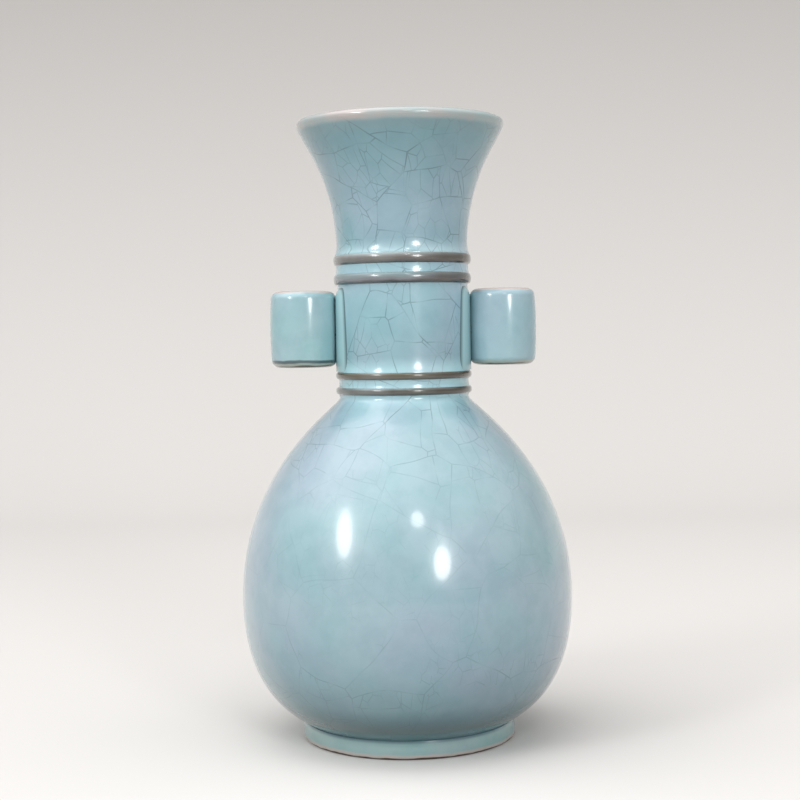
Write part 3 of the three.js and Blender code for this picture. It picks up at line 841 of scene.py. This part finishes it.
onLugs, onSaddles = lugGlaze(), saddleGlaze()
rightLug, rightSaddle = makeLug(), makeSaddle()
leftLug, leftSaddle = otherSide(rightLug, "leftLug"), otherSide(rightSaddle, "leftLugSaddle")
for piece, node, material in ((rightLug, "right_lug", onLugs), (leftLug, "left_lug", onLugs),
                              (rightSaddle, "right_lug_saddle", onSaddles),
                              (leftSaddle, "left_lug_saddle", onSaddles)):
    dress(piece, node, material)
print("lugs and saddles made")


# pale studio paper; it shows pale to the camera and in the glaze, and sends less light up than it shows
stage = {"colour": "#e6e3e0", "bounce": "#6f6862", "roughness": 0.85,
         "width": 4.0, "front": -1.6, "back": 1.3, "high": 2.4, "bend": 0.6, "bendSteps": 24}

bpy.ops.object.select_all(action="DESELECT")
bpy.ops.mesh.primitive_plane_add(size=1, location=(0, (stage["front"] + stage["back"]) / 2, 0))
floor = bpy.context.object
floor.name = "floorAndBackdrop"
floor.scale = (stage["width"], stage["back"] - stage["front"], 1)
bpy.ops.object.transform_apply(location=True, rotation=True, scale=True)
editMode(floor)
selectWhere(floor, lambda x, y, z: y > 0)
bpy.ops.mesh.extrude_region_move(TRANSFORM_OT_translate={"value": (0, 0, stage["high"])})
selectWhere(floor, lambda x, y, z: y > 0 and z < 1)
bpy.ops.mesh.bevel(offset=stage["bend"], segments=stage["bendSteps"], affect="EDGES")
objectMode()
bpy.ops.object.shade_smooth()
paper = bpy.data.materials.new("paleStudioPaper")
paper.use_nodes = True
paperTree = paper.node_tree
rays = addNode(paperTree, "ShaderNodeLightPath").outputs
seen = rays["Is Camera Ray"]
for kind in ("Is Glossy Ray", "Is Transmission Ray"):
    seen = addNode(paperTree, "ShaderNodeMath", {0: seen, 1: rays[kind]}, operation="MAXIMUM")
shown = addNode(paperTree, "ShaderNodeMix",
                {"Factor": seen, 6: srgb(stage["bounce"]), 7: srgb(stage["colour"])}, data_type="RGBA")
paperShader = paperTree.nodes["Principled BSDF"]
paperTree.links.new(shown.outputs[2], paperShader.inputs["Base Color"])
paperShader.inputs["Roughness"].default_value = stage["roughness"]
floor.data.materials.append(paper)
print("stage ready")


# two soft lamps in front, each bright in its middle and dimmer at its edge, and a small one between them;
# azimuth from the camera's side and elevation, distance, width and length in metres, lean, radiance
lamps = {
    "leftLamp": (-50.4, 27.5, 1.5, 0.29, 0.64, 27, 9.4),
    "leftLampEdge": (-50.4, 27.5, 1.53, 0.46, 0.90, 27, 1.3),
    "rightLamp": (25.6, 16.0, 1.5, 0.35, 0.45, -8, 11.5),
    "rightLampEdge": (25.0, 17.5, 1.53, 0.52, 0.66, -8, 1.1),
    "rightLampGlow": (28.0, 30.0, 1.5, 0.14, 0.40, -8, 1.6),
    "smallLamp": (10.0, 38.9, 1.5, 0.22, 0.22, 0, 10.0),
}
lampAim = Vector((0, -0.057, 0.085))     # where on the body the lamps show
lampColour = "#ffffff"
# the room is brighter towards the ceiling, most of all high on the left, and a little on both sides behind
room = {
    "colour": "#ffffff", "walls": 0.30, "horizon": 0.25, "horizonFall": 8,
    "ceiling": 0.88, "ceilingRise": 3,
    # azimuth, elevation, cosine at its edge and at its core, strength
    "glows": ((-58, 60, 0.70, 0.97, 1.1), (-108, 48, 0.72, 0.96, 0.44), (84, 48, 0.70, 0.97, 0.38))}


def bearing(azimuth, elevation):
    a, e = math.radians(azimuth), math.radians(elevation)
    return Vector((math.sin(a) * math.cos(e), -math.cos(a) * math.cos(e), math.sin(e)))


world = bpy.data.worlds.new("softRoom")
bpy.context.scene.world = world
world.use_nodes = True
worldTree = world.node_tree
background = worldTree.nodes["Background"]
background.inputs["Color"].default_value = srgb(room["colour"])
direction = addNode(worldTree, "ShaderNodeTexCoord").outputs["Generated"]
rise = addNode(worldTree, "ShaderNodeSeparateXYZ", {"Vector": direction}).outputs["Z"]
rise = addNode(worldTree, "ShaderNodeMath", {0: rise, 1: 0.0}, operation="MAXIMUM")
fall = addNode(worldTree, "ShaderNodeMath", {0: 1.0, 1: rise}, operation="SUBTRACT")
light = room["walls"]
for height, power, strength in ((rise, room["ceilingRise"], room["ceiling"]),
                                (fall, room["horizonFall"], room["horizon"])):
    band = addNode(worldTree, "ShaderNodeMath", {0: height, 1: power}, operation="POWER")
    light = addNode(worldTree, "ShaderNodeMath", {0: band, 1: strength, 2: light}, operation="MULTIPLY_ADD")
for azimuth, elevation, edge, core, strength in room["glows"]:
    toGlow = addNode(worldTree, "ShaderNodeVectorMath", {0: direction, 1: bearing(azimuth, elevation)},
                     operation="DOT_PRODUCT").outputs["Value"]
    glow = addNode(worldTree, "ShaderNodeMapRange", {"Value": toGlow, "From Min": edge, "From Max": core,
                                                     "To Max": strength}, interpolation_type="SMOOTHSTEP")
    light = addNode(worldTree, "ShaderNodeMath", {0: light, 1: glow}, operation="ADD")
worldTree.links.new(light.outputs["Value"], background.inputs["Strength"])


def addLamp(name, azimuth, elevation, distance, width, length, lean, radiance):
    place = lampAim + distance * bearing(azimuth, elevation)
    bpy.ops.object.light_add(type="AREA", location=place)
    lamp = bpy.context.object
    lamp.name = name
    lamp.rotation_euler = (lampAim - place).to_track_quat("-Z", "Y").to_euler()
    bpy.context.view_layer.update()
    lamp.rotation_euler.rotate_axis("Z", math.radians(lean))
    lamp.data.shape = "ELLIPSE"
    lamp.data.size, lamp.data.size_y = width, length
    lamp.data.color = srgb(lampColour)[:3]
    # radiance times pi times the area of the ellipse
    lamp.data.energy = radiance * math.pi * math.pi / 4 * width * length


for name, values in lamps.items():
    addLamp(name, *values)
print("lamps placed")


# in metres and degrees; the roll and yaw are the small turns in the photo's own frame
camera = {"lens": 70.14, "sensor": 36.0, "distance": 0.61, "height": 0.157, "clipStart": 0.01,
          "pitch": 2.40, "yaw": 0.118, "roll": 0.94}

bpy.ops.object.camera_add(location=(0, -camera["distance"], camera["height"]))
view = bpy.context.object
view.name = "photographersView"
view.rotation_euler = (math.radians(90 - camera["pitch"]), math.radians(camera["roll"]),
                       math.radians(camera["yaw"]))
view.data.lens = camera["lens"]
view.data.sensor_width = camera["sensor"]
view.data.clip_start = camera["clipStart"]
bpy.context.scene.camera = view
bpy.context.scene.view_settings.view_transform = "Standard"
